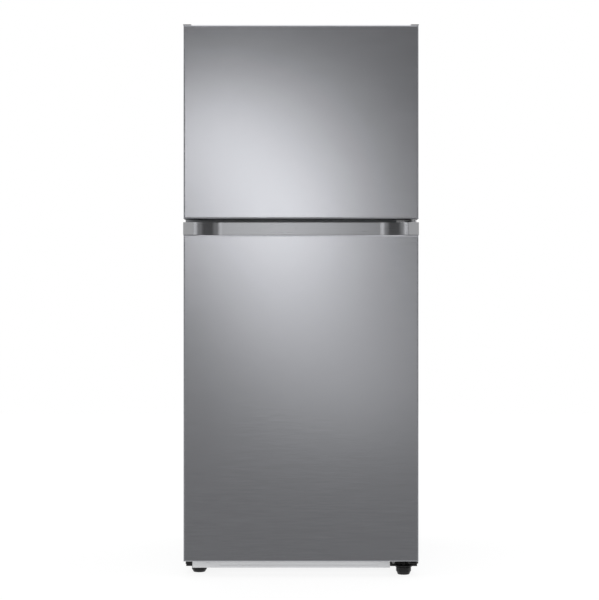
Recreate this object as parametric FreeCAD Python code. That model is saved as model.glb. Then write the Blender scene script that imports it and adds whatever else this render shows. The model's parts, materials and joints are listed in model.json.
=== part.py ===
import FreeCAD, Part
import math
import os
from FreeCAD import Vector

# Top freezer refrigerator, millimetres. +X is the hinge side, -Y the front, +Z up from the floor.
# The origin is the bottom centre of the bounding box.

# Overall sizes
door_width = 730.0
overall_depth = 795.0
door_top = 1710.0
door_bottom = 49.3
freezer_door_height = 600.0
door_gap = 10.5

# Doors
door_thickness = 66.0
seal_gap = 12.0
skin_sheet = 1.0
cap_lip = 1.0
skin_edge_radius = 5.0
skin_lip = 8.0
ear_width = 25.0
ear_height = 1.5
cap_thickness = 12.0
handle_height = 39.5
handle_cap_width = 32.0
handle_curve_length = 87.0
handle_recess = 24.0
handle_wall = 2.5
seam = 0.3
finger_half_width = 240.0
finger_wall = 3.0
finger_height = 25.0
gasket_width = 22.0
gasket_side_inset = 18.0
gasket_clearance = 0.3
door_liner_wall = 2.0
dyke_inset = 14.0
dyke_width = 21.0
dyke_reach = 25.0
bin_depth = 110.0
bin_wall = 3.0
bin_side_gap = 4.0
fridge_bin_levels = [(70.0, 100.0), (400.0, 90.0), (720.0, 80.0)]
freezer_bin_levels = [(35.0, 90.0), (270.0, 80.0)]

# Hinges
pin_radius = 4.0
running_clearance = 0.05
pin_from_side = 16.0
pin_from_front = 28.0
pin_length = 16.0
hinge_arm_half_width = 9.0
hinge_arm_angle = 110.0
top_hinge_plate = 3.5
middle_hinge_plate = 4.0
flange_plate = 3.0
hinge_notch_floor = 18.0
hinge_notch_front = 11.0
hinge_cover_height = 28.0
boss_radius = 13.0
screw_radius = 4.5
screw_head = 2.5

# Cabinet
cabinet_side_inset = 2.0
cabinet_top_drop = 16.0
cabinet_sheet = 1.0
back_relief = 6.0
wall_thickness = 53.0
rear_wall = 60.0
top_wall = 59.0
floor_wall = 43.0
mullion_height = 58.0
mullion_above_gap = 24.0
mullion_cover_height = 54.0
liner_wall = 2.0
liner_corner = 14.0
steel_flange = 38.0
side_bottom = 28.0
compartment_depth = 242.0
compartment_top = 258.0
step_wall = 45.0
tray_sheet = 1.5

# Shelves and drawers
shelf_rib = 8.0
rib_height = 6.0
shelf_side_gap = 2.0
shelf_front_gap = 115.0
shelf_rear_gap = 31.0
glass_thickness = 4.0
shelf_frame_height = 12.0
shelf_frame_width = 18.0
fridge_shelf_levels = [468.0, 708.0]
freezer_shelf_level = 241.0
drawer_wall = 2.5
drawer_travel = 280.0
rail_height = 3.5
rail_drop = 30.0

# Feet and base
left_foot_height = 17.0
right_foot_height = 22.0
foot_radius = 23.5
foot_from_centre = 321.6
left_foot_from_front = 108.0
right_foot_from_front = 65.0
stud_radius = 5.0
roller_radius = 20.0
roller_width = 22.0
axle_radius = 3.0
base_rail_bottom = 17.0
base_rail_sheet = 2.0

# Cooling parts
compressor_radius = 78.0
compressor_height = 165.0
fan_radius = 52.0
fin_count = 22
cover_depth = 63.0
tube_radius = 4.0
gland_bore = 4.0

# Derived planes
front = -overall_depth / 2
door_half = door_width / 2
skin_half = door_half - cap_lip
skin_in = skin_half - skin_sheet
door_back = front + door_thickness
liner_face = door_back - door_liner_wall
cab_front = door_back + seal_gap
cab_back = overall_depth / 2 - back_relief
cab_half = door_half - cabinet_side_inset
cab_in = cab_half - cabinet_sheet
cab_top = door_top - cabinet_top_drop
foam_front = cab_front + cabinet_sheet
foam_back = cab_back - cabinet_sheet
freezer_door_bottom = door_top - freezer_door_height
fridge_door_top = freezer_door_bottom - door_gap
handle_bottom = fridge_door_top - handle_height
inner_half = cab_half - wall_thickness
inner_back = foam_back - rear_wall
freezer_floor = freezer_door_bottom + mullion_above_gap
freezer_roof = cab_top - top_wall
fridge_roof = freezer_floor - mullion_height
fridge_floor = door_bottom + floor_wall
mullion_low = (freezer_floor + fridge_roof - mullion_cover_height) / 2
mullion_high = mullion_low + mullion_cover_height
flange_half = cab_half - steel_flange
compartment_front = cab_back - compartment_depth
step_front = compartment_front - step_wall
step_top = compartment_top + step_wall
pin_x = door_half - pin_from_side
pin_y = front + pin_from_front
shelf_front = cab_front + shelf_front_gap
shelf_back = inner_back - shelf_rear_gap
shelf_half = inner_half - shelf_side_gap
rib_top_crisper = step_top
big = 3000.0
parts = {}


def box(x0, x1, y0, y1, z0, z1):
    return Part.makeBox(x1 - x0, y1 - y0, z1 - z0, Vector(x0, y0, z0))


def wide_box(half, y0, y1, z0, z1):
    return box(-half, half, y0, y1, z0, z1)


def rod(x, y, z, radius, length, direction=(0, 0, 1)):
    return Part.makeCylinder(radius, length, Vector(x, y, z), Vector(*direction))


def fuse(shapes):
    result = shapes[0].multiFuse(shapes[1:]) if len(shapes) > 1 else shapes[0]
    return result.removeSplitter()


def prism_x(points, x0, x1):
    corners = [Vector(x0, y, z) for y, z in points]
    face = Part.Face(Part.makePolygon(corners + corners[:1]))
    return face.extrude(Vector(x1 - x0, 0, 0))


def prism_z(points, z0, z1):
    corners = [Vector(x, y, z0) for x, y in points]
    face = Part.Face(Part.makePolygon(corners + corners[:1]))
    return face.extrude(Vector(0, 0, z1 - z0))


def fillet_behind(shape, radius, plane):
    """Round every edge that does not lie in the given front plane."""
    edges = [e for e in shape.Edges if e.BoundBox.YMax > plane + 1e-3]
    return shape.makeFillet(radius, edges)


def upright_edges(shape, test):
    """Vertical edges whose x and y pass the test."""
    found = []
    for edge in shape.Edges:
        b = edge.BoundBox
        if b.ZLength > 1 and b.XLength < 0.01 and b.YLength < 0.01 and test(b.XMin, b.YMin):
            found.append(edge)
    return found


def round_upright(shape, radius, test):
    return shape.makeFillet(radius, upright_edges(shape, test))


def frame_xz(half, z0, z1, width, y0, y1):
    """Upright rectangular ring facing the front."""
    outer = wide_box(half, y0, y1, z0, z1)
    inner = wide_box(half - width, y0 - 1, y1 + 1, z0 + width, z1 - width)
    return outer.cut(inner)


def mirrored(shape):
    return shape.mirror(Vector(0, 0, 0), Vector(1, 0, 0))


def screw_top(x, y, z, length):
    """Pan head with a straight shank hanging below it."""
    head = rod(x, y, z, screw_radius, screw_head)
    head = head.makeFillet(1.2, [e for e in head.Edges if e.BoundBox.ZMin > z + 1])
    return head.fuse(rod(x, y, z - length, screw_radius / 2, length))


def screw_front(x, y, z, length):
    """Pan head facing the front with its shank running back."""
    head = rod(x, y, z, screw_radius, screw_head, (0, -1, 0))
    return head.fuse(rod(x, y, z, screw_radius / 2, length, (0, 1, 0)))


# ---------------------------------------------------------------- cabinet
def liner_solid(grow, floor, roof, step):
    """Block as large as the storage space, grown by a wall thickness."""
    low, high = floor - grow, roof + grow
    start = cab_front - (0 if grow else 5)
    if step:
        points = [
            (start, low),
            (step_front + grow, low),
            (step_front + grow, step_top - grow),
            (inner_back + grow, step_top - grow),
            (inner_back + grow, high),
            (start, high),
        ]
    else:
        points = [(start, low), (inner_back + grow, low), (inner_back + grow, high), (start, high)]
    block = prism_x(points, -inner_half - grow, inner_half + grow)
    return fillet_behind(block, liner_corner + grow, start)


def side_ribs(levels, back):
    """Ledges along both side walls; each level is a rib's top."""
    ribs = []
    for level in levels:
        rib = box(
            inner_half - shelf_rib, inner_half + 1, shelf_front + 5, back, level - rib_height, level
        )
        ribs += [rib, mirrored(rib)]
    return ribs


def make_cabinet():
    freezer_out = liner_solid(liner_wall, freezer_floor, freezer_roof, False)
    fridge_out = liner_solid(liner_wall, fridge_floor, fridge_roof, True)
    freezer_in = liner_solid(0, freezer_floor, freezer_roof, False)
    fridge_in = liner_solid(0, fridge_floor, fridge_roof, True)
    flange_top = cab_top - steel_flange - 6
    flange_low = door_bottom + 29

    outer = wide_box(cab_half, cab_front, cab_back, side_bottom, cab_top)
    hollow = wide_box(cab_in, foam_front, cab_back + 1, side_bottom - 1, cab_top - cabinet_sheet)
    opening = wide_box(flange_half, cab_front - 1, foam_front + 1, flange_low, flange_top)
    skirt = wide_box(cab_in, cab_front - 1, foam_front + 1, side_bottom - 1, door_bottom)
    parts["cabinet_shell"] = outer.cut(hollow).cut(opening).cut(skirt)

    tray_top = compartment_top + tray_sheet
    back_low = tray_top + seam
    back = wide_box(cab_in - seam, foam_back, cab_back, back_low, cab_top - cabinet_sheet - seam)
    for z in (back_low + 260, back_low + 620, back_low + 980):
        back = back.cut(rod(0, foam_back - 1, z, 3, 4, (0, 1, 0)))
    parts["cabinet_back_panel"] = back

    foam = wide_box(cab_in, foam_front, foam_back, door_bottom, cab_top - cabinet_sheet)
    machine_space = wide_box(cab_half, compartment_front - tray_sheet, cab_back, 0, tray_top)
    foam = foam.cut(machine_space).cut(freezer_out).cut(fridge_out)
    parts["cabinet_insulation"] = foam

    freezer_flange = wide_box(flange_half, cab_front, foam_front, mullion_high, flange_top)
    fridge_flange = wide_box(flange_half, cab_front, foam_front, flange_low, mullion_low)
    freezer_shelf_ribs = side_ribs([freezer_floor + freezer_shelf_level], inner_back - cover_depth - 8)
    fridge_levels = [fridge_floor + level for level in fridge_shelf_levels]
    fridge_ribs = side_ribs(fridge_levels + [rib_top_crisper], shelf_back - 5)
    liner = freezer_out.fuse(freezer_flange).cut(freezer_in)
    ribs = [rib.common(freezer_out) for rib in freezer_shelf_ribs]
    parts["freezer_liner"] = fuse([liner] + ribs)
    liner = fridge_out.fuse(fridge_flange).cut(fridge_in)
    ribs = [rib.common(fridge_out) for rib in fridge_ribs]
    parts["fridge_liner"] = fuse([liner] + ribs)
    parts["cabinet_insulation"] = parts["cabinet_insulation"].cut(
        wide_box(flange_half, cab_front, foam_front, flange_low, flange_top)
    )
    parts["mullion_cover"] = wide_box(flange_half, cab_front, foam_front, mullion_low, mullion_high)


# ---------------------------------------------------------------- base
def make_base():
    deck = wide_box(cab_in, foam_front, compartment_front, door_bottom - tray_sheet, door_bottom)
    wall = wide_box(
        cab_in, compartment_front - tray_sheet, compartment_front, side_bottom, compartment_top + tray_sheet
    )
    roof = wide_box(
        cab_in, compartment_front, foam_back, compartment_top, compartment_top + tray_sheet
    )
    floor = wide_box(cab_in, compartment_front, foam_back, side_bottom, side_bottom + tray_sheet)
    apron = box(-foot_from_centre + 25, cab_in, cab_front, foam_front, side_bottom - 4, door_bottom)
    tray = fuse([deck, wall, roof, floor, apron])
    roller_y = cab_back - 62
    axles = []
    for side in (-1, 1):
        x = side * (cab_half - 63)
        half = roller_width / 2
        slot = box(x - half - 5, x + half + 5, roller_y - 26, roller_y + 26, 0, side_bottom + 20)
        tray = tray.cut(slot)
        for edge in (-1, 1):
            wall_x = x + edge * (half + 3)
            cheek = box(wall_x - 1, wall_x + 1, roller_y - 30, roller_y + 30, 12, side_bottom + 14)
            hole_radius = axle_radius + running_clearance
            cheek = cheek.cut(rod(wall_x - 2, roller_y, roller_radius, hole_radius, 4, (1, 0, 0)))
            tie_x = min(wall_x + 1, wall_x + edge * 6), max(wall_x - 1, wall_x + edge * 6)
            tie = box(*tie_x, roller_y - 30, roller_y - 26, side_bottom, side_bottom + tray_sheet)
            tray = tray.fuse(cheek).fuse(tie)
        axle_length = roller_width + 10
        axles.append(rod(x - axle_length / 2, roller_y, roller_radius, axle_radius, axle_length, (1, 0, 0)))
        wheel = rod(x - half, roller_y, roller_radius, roller_radius, roller_width, (1, 0, 0))
        wheel = wheel.makeFillet(2.5, [e for e in wheel.Edges if e.BoundBox.XLength < 0.01])
        groove = rod(x - 3, roller_y, roller_radius, roller_radius + 1, 6, (1, 0, 0))
        groove = groove.cut(rod(x - 3, roller_y, roller_radius, roller_radius - 1.2, 6, (1, 0, 0)))
        bore_radius = axle_radius + running_clearance
        bore = rod(x - half - 1, roller_y, roller_radius, bore_radius, roller_width + 2, (1, 0, 0))
        name = "rear_roller_left" if side < 0 else "rear_roller_right"
        parts[name] = wheel.cut(groove).cut(bore)
    parts["base_tray"] = tray.removeSplitter()
    parts["roller_axles"] = Part.makeCompound(axles)

    rail_left = -foot_from_centre - 20
    rail_right = foot_from_centre - 42
    face_y = cab_front - base_rail_sheet
    plate = box(rail_left, rail_right, face_y, cab_front, base_rail_bottom, door_bottom)
    rail_low = base_rail_bottom
    groove = box(rail_left + 87, rail_right - 37, face_y - 1, face_y + 0.9, rail_low + 7, rail_low + 14)
    lip = box(rail_left + 87, rail_right, cab_front, cab_front + 10, rail_low, rail_low + base_rail_sheet)
    boss = rod(rail_left + 50, face_y, base_rail_bottom + 12.6, 4, 1.2, (0, -1, 0))
    parts["base_rail"] = fuse([plate.cut(groove), lip, boss])

    plate_low = left_foot_height + 7
    foot_y = front + left_foot_from_front
    cheek_front = cab_front - flange_plate
    cheek_top = door_bottom - seam
    cheek = box(-cab_half + 2, rail_left - seam, cheek_front, cab_front, plate_low - 1.5, cheek_top)
    shelf = box(-cab_half + 2, -foot_from_centre + 23, cab_front, foot_y + 28, plate_low, plate_low + 4)
    upright = box(-cab_half + 2, -cab_half + 5, foam_front, foot_y + 28, plate_low, door_bottom - tray_sheet)
    bracket = fuse([cheek, shelf, upright])
    stud_hole = rod(-foot_from_centre, foot_y, plate_low - 2, stud_radius + running_clearance, 20)
    parts["foot_bracket_left"] = bracket.cut(stud_hole)
    parts["foot_left"] = make_foot(-foot_from_centre, foot_y, left_foot_height)


def make_foot(x, y, height):
    """Levelling foot: bevelled pad, scalloped rim and plain stud."""
    rim_low = height * 0.45
    pad = Part.makeCone(foot_radius - 5, foot_radius - 1, rim_low, Vector(x, y, 0))
    rim = rod(x, y, rim_low, foot_radius, height - rim_low)
    for step in range(12):
        angle = math.radians(30 * step)
        notch_x = x + (foot_radius + 1.2) * math.cos(angle)
        notch_y = y + (foot_radius + 1.2) * math.sin(angle)
        rim = rim.cut(rod(notch_x, notch_y, rim_low - 1, 2.4, height))
    stud = rod(x, y, height, stud_radius, 15)
    return fuse([pad, rim, stud])


# ---------------------------------------------------------------- hinges
def hinge_arm(z0, z1):
    """Flat arm from the pin back over the cabinet front, leaning inwards."""
    angle = math.radians(hinge_arm_angle)
    reach = (cab_front + 12 - pin_y) / math.sin(angle)
    along = Vector(math.cos(angle), math.sin(angle), 0)
    across = Vector(-along.y, along.x, 0) * hinge_arm_half_width
    start = Vector(pin_x, pin_y, 0)
    end = start + along * reach
    corners = [start + across, end + across, end - across, start - across]
    arm = prism_z([(c.x, c.y) for c in corners], z0, z1)
    return arm.fuse(rod(pin_x, pin_y, z0, hinge_arm_half_width, z1 - z0))


def make_hinges():
    top_high = cab_top + top_hinge_plate
    plate = box(pin_x - 60, cab_half - 5, cab_front + 8, cab_front + 80, cab_top, top_high)
    plate = round_upright(plate, 6, lambda x, y: True)
    pin = rod(pin_x, pin_y, cab_top - pin_length - 3, pin_radius, pin_length + 4)
    top = fuse([plate, hinge_arm(cab_top, top_high), pin])
    spots = [(pin_x - 48, cab_front + 22), (pin_x - 2, cab_front + 30), (pin_x - 25, cab_front + 66)]
    screws = []
    for x, y in spots:
        top = top.cut(rod(x, y, cab_top - 1, screw_radius / 2 + 0.2, 6))
        screws.append(screw_top(x, y, top_high, top_hinge_plate))
    parts["top_hinge"] = top

    cover_low, cover_high = cab_top, cab_top + hinge_cover_height
    hood = box(pin_x - 66, cab_half - 1.5, cab_front - 2.5, cab_front + 90, cover_low, cover_high)
    hood = hood.makeFillet(6, [e for e in hood.Edges if e.BoundBox.ZMax > cover_low + 1])
    core = box(pin_x - 64, cab_half - 3.5, cab_front - 0.5, cab_front + 88, cover_low - 1, cover_high - 2)
    core = core.makeFillet(4, [e for e in core.Edges if e.BoundBox.ZMax > cover_low + 1])
    slot = box(pin_x - 50, cab_half, cab_front - 4, cab_front + 1, cover_low - 1, top_high + 1.5)
    parts["top_hinge_cover"] = hood.cut(core).cut(slot)

    middle_low = fridge_door_top + (door_gap - middle_hinge_plate) / 2
    middle_high = middle_low + middle_hinge_plate
    flange_front = cab_front - flange_plate
    flange_low, flange_high = fridge_door_top - 1.5, freezer_door_bottom + 2
    flange = box(pin_x - 49, pin_x + 6, flange_front, cab_front, flange_low, flange_high)
    arm_root = box(pin_x - 49, pin_x + 6, cab_front - 12, cab_front - flange_plate, middle_low, middle_high)
    arm = hinge_arm(middle_low, middle_high).common(wide_box(big, -big, cab_front - flange_plate, 0, big))
    pins = rod(pin_x, pin_y, fridge_door_top - pin_length, pin_radius, 2 * pin_length + door_gap)
    middle = fuse([flange, arm_root, arm, pins])
    parts["middle_hinge"] = middle

    arm_high = door_bottom - 5.3
    arm_low = arm_high - 4
    flange_left, flange_high = foot_from_centre - 41.6, arm_high + 4
    flange = box(flange_left, door_half, flange_front, cab_front, right_foot_height, flange_high)
    arm_plate = box(pin_x - 24, door_half, pin_y, cab_front - flange_plate, arm_low, arm_high)
    nose = rod(pin_x, pin_y, arm_low, door_half - pin_x, 4)
    relief = box(pin_x - 30, pin_x - 16, pin_y - 1, cab_front - 16, arm_low - 1, arm_high + 1)
    arm_plate = arm_plate.cut(relief)
    collar = rod(pin_x, pin_y, arm_high, pin_radius + 4, 4.3)
    pin = rod(pin_x, pin_y, arm_high, pin_radius, 5.3 + pin_length)
    foot_y = front + right_foot_from_front
    tab_low = right_foot_height + 2
    tab_left, tab_right = foot_from_centre - 26, foot_from_centre + 26
    tab = box(tab_left, tab_right, foot_y - 24, flange_front, tab_low, tab_low + 4)
    tab = round_upright(tab, 20, lambda x, y: y < foot_y - 20)
    bottom = fuse([flange, arm_plate, nose, collar, pin, tab])
    bottom = bottom.cut(rod(foot_from_centre, foot_y, tab_low - 1, stud_radius + running_clearance, 6))
    shank = cab_front - flange_plate
    for x in (foot_from_centre - 31.6, foot_from_centre + 32):
        spot_z = tab_low + 11
        bottom = bottom.cut(rod(x, shank - 1, spot_z, screw_radius / 2 + 0.2, 5, (0, 1, 0)))
        screws.append(screw_front(x, shank, spot_z, flange_plate))
    parts["bottom_hinge"] = bottom
    parts["foot_right"] = make_foot(foot_from_centre, foot_y, right_foot_height)
    for x in (pin_x - 40, pin_x - 16):
        parts["middle_hinge"] = parts["middle_hinge"].cut(
            rod(x, cab_front - flange_plate - 1, fridge_door_top + 1.0, 1.7, 5, (0, 1, 0))
        )
    parts["hinge_screws"] = Part.makeCompound(screws)


# ---------------------------------------------------------------- doors
def skin_solids(low, high):
    """Outer and inner block of a door skin with rounded front edges."""
    blocks = []
    for inset, radius in ((0, skin_edge_radius), (skin_sheet, skin_edge_radius - skin_sheet)):
        half = skin_half - inset
        block = wide_box(half, front + inset, door_back + inset * 10, low + inset, high - inset)
        edges = []
        for edge in block.Edges:
            if edge.BoundBox.YMax < front + inset + 0.01:
                edges.append(edge)
        blocks.append(block.makeFillet(radius, edges))
    return blocks


def door_skin(low, high):
    outer, inner = skin_solids(low, high)
    way_through = wide_box(skin_in, front + skin_lip, door_back + 1, low - 1, high + 1)
    return outer.cut(inner).cut(way_through)


def dyke(inset, low, high, start, reach):
    half = inner_half - dyke_inset - inset
    width = dyke_width - 2 * inset
    return frame_xz(half, low + inset, high - inset, width, start, reach)


def door_liner(low, high, dyke_low, dyke_high):
    plate = wide_box(skin_in - 0.2, liner_face, door_back, low, high)
    reach = cab_front + dyke_reach
    ring = dyke(0, dyke_low, dyke_high, liner_face, reach)
    filling = dyke(door_liner_wall, dyke_low, dyke_high, liner_face - 1, reach - door_liner_wall)
    return plate.fuse(ring).cut(filling).removeSplitter()


def dyke_filling(dyke_low, dyke_high):
    reach = cab_front + dyke_reach - door_liner_wall
    return dyke(door_liner_wall, dyke_low, dyke_high, liner_face, reach)


def gasket(low, high):
    outer = door_half - gasket_side_inset
    base = frame_xz(outer, low, high, gasket_width, door_back, door_back + 3)
    neck = frame_xz(outer - 5, low + 5, high - 5, 7, door_back + 3, door_back + 7)
    head = frame_xz(outer - 2, low + 2, high - 2, 14, door_back + 6, cab_front - gasket_clearance)
    return fuse([base, neck, head])


def door_bin(low, height):
    half = inner_half - dyke_inset - dyke_width - bin_side_gap
    back_y = door_back + 1.5
    inner_y = back_y + bin_depth
    tray = wide_box(half, back_y, inner_y, low, low + height)
    tray = round_upright(tray, 18, lambda x, y: y > inner_y - 1)
    top = low + height
    hollow = wide_box(half - bin_wall, back_y + bin_wall, inner_y - bin_wall, low + bin_wall, top + 1)
    hollow = round_upright(hollow, 18 - bin_wall, lambda x, y: y > inner_y - bin_wall - 1)
    slope = wide_box(half + 1, back_y - 1, back_y + bin_wall + 0.01, low + height * 0.7, top + 1)
    lug = box(half - 1, half + bin_side_gap, back_y + 4, back_y + 24, low + 12, low + 36)
    rim = wide_box(half - 30, inner_y - 1, inner_y + 1.5, low + height - 8, low + height)
    shell = fuse([tray, lug, mirrored(lug), rim])
    return shell.cut(hollow).cut(slope)


def make_freezer_door():
    low, high = freezer_door_bottom, door_top
    notch_floor = high - hinge_notch_floor
    notch = box(pin_x - 27, door_half + 5, front + hinge_notch_front, door_back + 5, notch_floor, high + 5)
    cap_front = front + skin_edge_radius + 1
    plate = wide_box(skin_in, cap_front, liner_face, high - cap_thickness, high - skin_sheet)
    plate_top = wide_box(skin_in, front + skin_lip, liner_face, high - skin_sheet, high)
    block = box(pin_x - 31, skin_in, cap_front, liner_face, notch_floor - 24, high - skin_sheet)
    ear = box(door_half - ear_width, door_half, front + 1, liner_face, high, high + ear_height)
    top = fuse([plate, plate_top, block, ear, mirrored(ear)]).cut(notch)
    pin_hole = rod(pin_x, pin_y, notch_floor - 21, pin_radius + running_clearance, 30)
    parts["freezer_door_top_cap"] = top.cut(pin_hole)
    parts["freezer_door_skin"] = door_skin(low, high).cut(notch)

    plate = wide_box(skin_in, cap_front, liner_face, low + skin_sheet, low + cap_thickness)
    plate_low = wide_box(skin_in, front + skin_lip, liner_face, low, low + skin_sheet)
    pocket_back = front + handle_recess + 6
    pocket_high = low + finger_height - 3
    pocket_box = wide_box(finger_half_width + 3, front + skin_lip, pocket_back + 2, low, pocket_high + 2)
    pocket = wide_box(finger_half_width, front + skin_lip + 2, pocket_back, low - 1, pocket_high)
    boss = rod(pin_x, pin_y, low, boss_radius, pin_length + 6)
    boss = boss.common(wide_box(skin_in, cap_front, liner_face, low, high))
    bottom = fuse([plate, plate_low, pocket_box, boss]).cut(pocket)
    parts["freezer_door_bottom_cap"] = bottom.cut(
        rod(pin_x, pin_y, low - 1, pin_radius + running_clearance, pin_length + 2)
    )

    dyke_low, dyke_high = freezer_floor + dyke_inset, freezer_roof - dyke_inset
    liner = door_liner(low + skin_sheet, high - skin_sheet, dyke_low, dyke_high)
    parts["freezer_door_liner"] = liner.cut(notch)
    inner = skin_solids(low, high)[1].common(wide_box(skin_in, front, liner_face, low, high))
    foam = inner.cut(top).cut(bottom).cut(pocket).cut(notch).cut(pin_hole)
    foam = foam.cut(wide_box(skin_half, front, liner_face, high - cap_thickness, high + 5))
    foam = foam.cut(wide_box(skin_half, front, liner_face, low - 5, low + cap_thickness))
    foam = foam.cut(rod(pin_x, pin_y, low, boss_radius, pin_length + 6))
    parts["freezer_door_insulation"] = foam.fuse(dyke_filling(dyke_low, dyke_high)).removeSplitter()
    parts["freezer_door_gasket"] = gasket(low + 3, cab_top - 8)
    bins = [door_bin(freezer_floor + start, height) for start, height in freezer_bin_levels]
    parts["freezer_door_bins"] = Part.makeCompound(bins)


def handle_profile(shift, half, z0, z1, back_y):
    """Block whose front follows the S-shaped hand recess."""
    flat_half = half - handle_curve_length
    middle = (half + flat_half) / 2
    y0, y1 = front + shift, front + shift + handle_recess
    curves = []
    for side in (-1, 1):
        poles = [(half, y0), (middle, y0), (middle, y1), (flat_half, y1)]
        curve = Part.BezierCurve()
        curve.setPoles([Vector(side * x, y, z0) for x, y in poles])
        curves.append(curve.toShape())
    left, right = curves
    corners = [
        Part.makeLine(Vector(-flat_half, y1, z0), Vector(flat_half, y1, z0)),
        Part.makeLine(Vector(half, y0, z0), Vector(half, back_y, z0)),
        Part.makeLine(Vector(half, back_y, z0), Vector(-half, back_y, z0)),
        Part.makeLine(Vector(-half, back_y, z0), Vector(-half, y0, z0)),
    ]
    wire = Part.Wire(Part.__sortEdges__([left, right] + corners))
    return Part.Face(wire).extrude(Vector(0, 0, z1 - z0))


def make_fridge_door():
    low, high = door_bottom, fridge_door_top
    cap_front = front + skin_edge_radius + 1
    trim_half = door_half - handle_cap_width
    parts["fridge_door_skin"] = door_skin(low, handle_bottom)

    outer = handle_profile(0, trim_half, handle_bottom, high, liner_face)
    inner = handle_profile(handle_wall, trim_half, handle_bottom - 1, high - handle_wall, liner_face + 1)
    pocket_back = front + handle_recess
    floor_back = pocket_back + finger_wall
    lip_back = front + skin_lip
    floor = wide_box(trim_half, lip_back, floor_back, handle_bottom - handle_wall, handle_bottom)
    pocket_low = handle_bottom - finger_height
    pocket_box = wide_box(finger_half_width + 3, lip_back, floor_back, pocket_low - 2, handle_bottom)
    pocket = wide_box(finger_half_width, lip_back + 2, pocket_back, pocket_low, handle_bottom + 1)
    trim = outer.cut(inner).fuse(floor).fuse(pocket_box).cut(pocket)
    parts["fridge_door_handle_trim"] = trim.removeSplitter()

    cap = box(trim_half + seam, door_half, front, liner_face, handle_bottom + seam, high)
    cap = round_upright(cap, skin_edge_radius, lambda x, y: x > door_half - 1 and y < front + 1)
    right = cap.cut(rod(pin_x, pin_y, high - pin_length - 2, pin_radius + running_clearance, pin_length + 4))
    parts["fridge_door_end_caps"] = Part.makeCompound([right, mirrored(cap)])

    plate = wide_box(skin_in, cap_front, liner_face, low + skin_sheet, low + cap_thickness)
    plate_low = wide_box(skin_in, front + skin_lip, liner_face, low, low + skin_sheet)
    boss = rod(pin_x, pin_y, low, boss_radius, pin_length + 6)
    boss = boss.common(wide_box(skin_in, cap_front, liner_face, low, high))
    bottom = fuse([plate, plate_low, boss])
    parts["fridge_door_bottom_cap"] = bottom.cut(
        rod(pin_x, pin_y, low - 1, pin_radius + running_clearance, pin_length + 2)
    )

    dyke_low, dyke_high = fridge_floor + dyke_inset, fridge_roof - dyke_inset
    liner = door_liner(low + skin_sheet, high, dyke_low, dyke_high)
    parts["fridge_door_liner"] = liner
    foam = skin_solids(low, handle_bottom)[1].common(wide_box(skin_in, front, liner_face, low, handle_bottom))
    foam = foam.cut(pocket_box).cut(floor)
    foam = foam.cut(wide_box(skin_half, front, liner_face, low - 5, low + cap_thickness))
    foam = foam.cut(rod(pin_x, pin_y, low, boss_radius, pin_length + 6))
    head = wide_box(trim_half, floor_back, liner_face, handle_bottom - skin_sheet, high - handle_wall)
    foam = foam.fuse(head).fuse(dyke_filling(dyke_low, dyke_high))
    parts["fridge_door_insulation"] = foam.removeSplitter()
    parts["fridge_door_gasket"] = gasket(low + 3.7, high - 2.5)
    bins = [door_bin(fridge_floor + start, height) for start, height in fridge_bin_levels]
    parts["fridge_door_bins"] = Part.makeCompound(bins)


# ---------------------------------------------------------------- interior
def shelf(level, back):
    """Glass pane and the moulded rim around it; level is the rim's underside."""
    rim = wide_box(shelf_half, shelf_front, back, level, level + shelf_frame_height)
    rim = round_upright(rim, 8, lambda x, y: True)
    half = shelf_half - shelf_frame_width
    y0, y1 = shelf_front + shelf_frame_width, back - shelf_frame_width
    window = wide_box(half, y0, y1, level - 1, level + shelf_frame_height + 1)
    glass_low = level + shelf_frame_height - glass_thickness - 1
    seat = wide_box(half + 6, y0 - 6, y1 + 6, glass_low, level + shelf_frame_height + 1)
    pane = wide_box(half + 6, y0 - 6, y1 + 6, glass_low, glass_low + glass_thickness)
    return rim.cut(window).cut(seat), pane


def drawer(side):
    """Crisper with side lips that hang on the rails and a taller front panel."""
    top = step_top - rail_drop + rail_height
    low = fridge_floor + 6
    y0, y1 = shelf_front + 5, step_front - 5
    left, right = 15.0, inner_half - 20
    body = box(left, right, y0, y1, low, top + 3.5)
    body = round_upright(body, 12, lambda x, y: y > y1 - 1)
    lip = box(left - 6, right + 6, y0, y1, top + 0.5, top + 4)
    wall = drawer_wall
    hollow = box(left + wall, right - wall, y0 + 3.5, y1 - wall, low + wall, top + 9)
    rounded = [e for e in hollow.Edges if e.BoundBox.ZMax < top + 8 or e.BoundBox.ZLength > 1]
    hollow = hollow.makeFillet(9, rounded)
    panel = box(left - 11, right + 6, y0, y0 + 3.5, low, step_top - 5)
    grip_z = step_top - 40
    grip = box(left + 60, right - 60, y0 + 3.5, y0 + 22, grip_z, grip_z + 2.5)
    shape = fuse([body, lip, panel]).cut(hollow).fuse(grip)
    window = box(left + 60, right - 60, y0 - 1, y0 + 4, grip_z + 2.5, grip_z + 24)
    shape = shape.cut(window).removeSplitter()
    return shape if side > 0 else mirrored(shape)


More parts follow.
